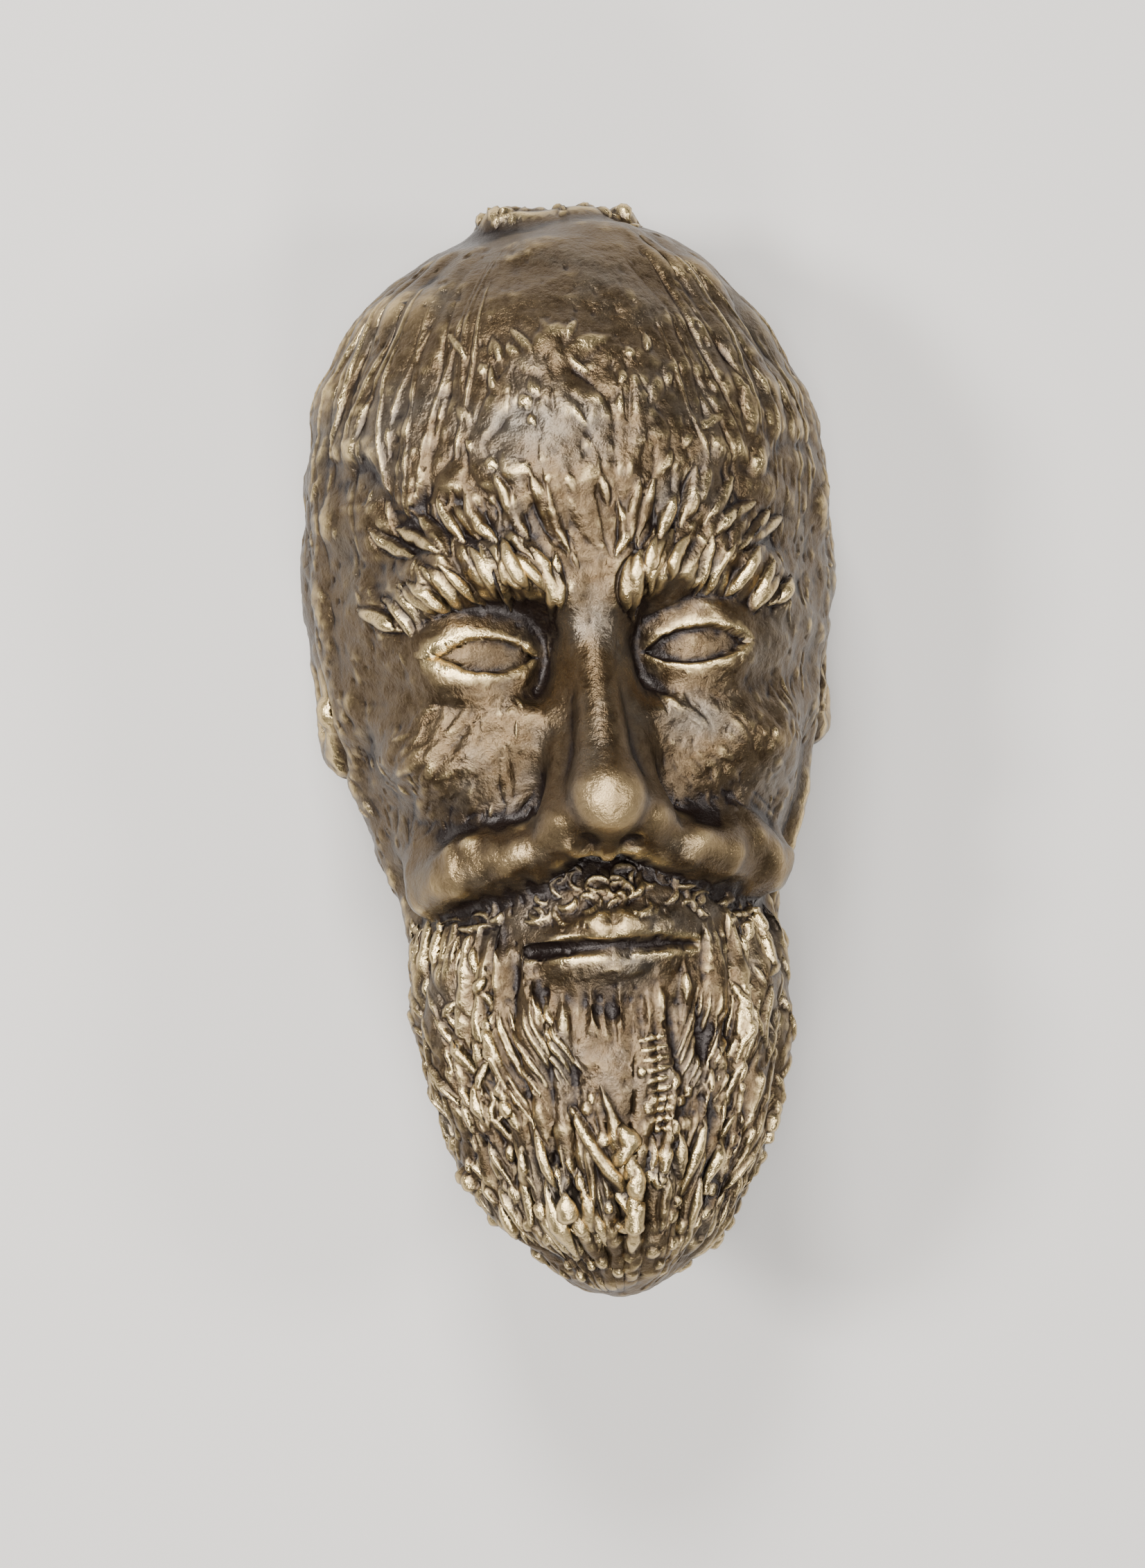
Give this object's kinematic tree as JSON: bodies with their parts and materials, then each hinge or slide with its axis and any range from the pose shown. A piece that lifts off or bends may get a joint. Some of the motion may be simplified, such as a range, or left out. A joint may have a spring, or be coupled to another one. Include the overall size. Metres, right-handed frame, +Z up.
{
  "type": "bronze head sculpture",
  "caption": "Small cast bronze head of a bearded man with a moustache, tufted brows and a bare crown, lying on a flat spot at the back.",
  "frame": {"origin": "middle of the small flat spot on the back of the head, on which it lies", "axes": "+Z up, out of the face; +Y towards the crown, -Y towards the tip of the beard; +X towards the head's own left side"},
  "size_m": [0.0258, 0.0519, 0.0265],
  "materials": {
    "bronze": "cast bronze with brown patina, polished on the high spots"
  },
  "bodies": {
    "root": {"bronze_head": "bronze"}
  },
  "joints": []
}
